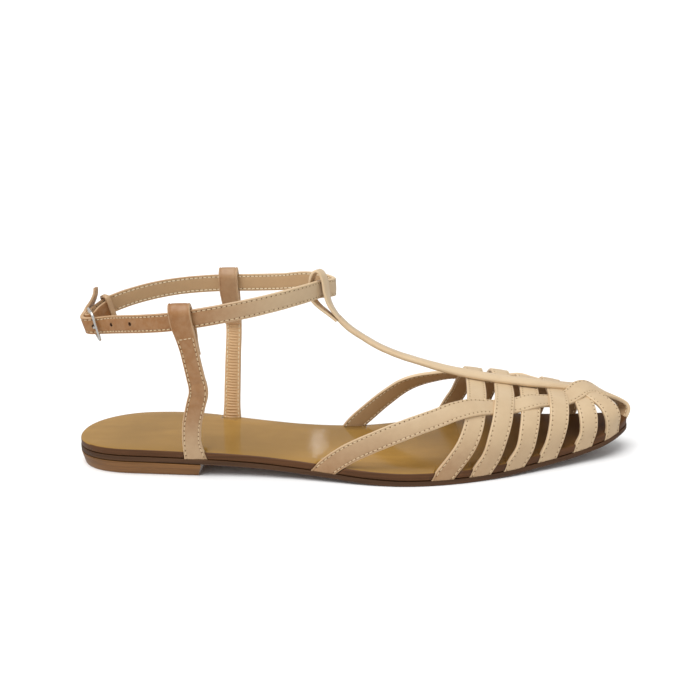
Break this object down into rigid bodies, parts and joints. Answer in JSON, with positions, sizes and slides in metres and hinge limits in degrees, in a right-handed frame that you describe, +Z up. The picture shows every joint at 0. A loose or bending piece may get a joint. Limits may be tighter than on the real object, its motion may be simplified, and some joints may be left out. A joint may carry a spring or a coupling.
{
  "type": "t-strap sandal",
  "caption": "Flat T-strap sandal, right foot: woven leather straps over the toes, an instep strap to a buckled ankle strap, flat leather sole.",
  "frame": {"origin": "on the floor, under the middle of the shoe's bounding box", "axes": "+X towards the toe, +Y towards the inner (medial) side, +Z up from the floor that the heel and forefoot stand on"},
  "size_m": [0.2495, 0.0767, 0.0857],
  "materials": {
    "nude_leather": "smooth semi-gloss nude leather, stitched along both edges",
    "footbed_leather": "glossy tan leather",
    "sole_leather": "dark brown burnished edge",
    "stacked_leather": "mid-brown stacked leather heel",
    "buckle_metal": "polished pale silver"
  },
  "bodies": {
    "root": {"outsole": "sole_leather", "heel": "stacked_leather", "insole": "footbed_leather", "upper": "nude_leather", "quarter_strap_lateral": "nude_leather", "quarter_strap_medial": "nude_leather", "ankle_strap": "nude_leather", "keeper": "nude_leather", "buckle_frame": "buckle_metal", "buckle_prong": "buckle_metal"}
  },
  "joints": []
}
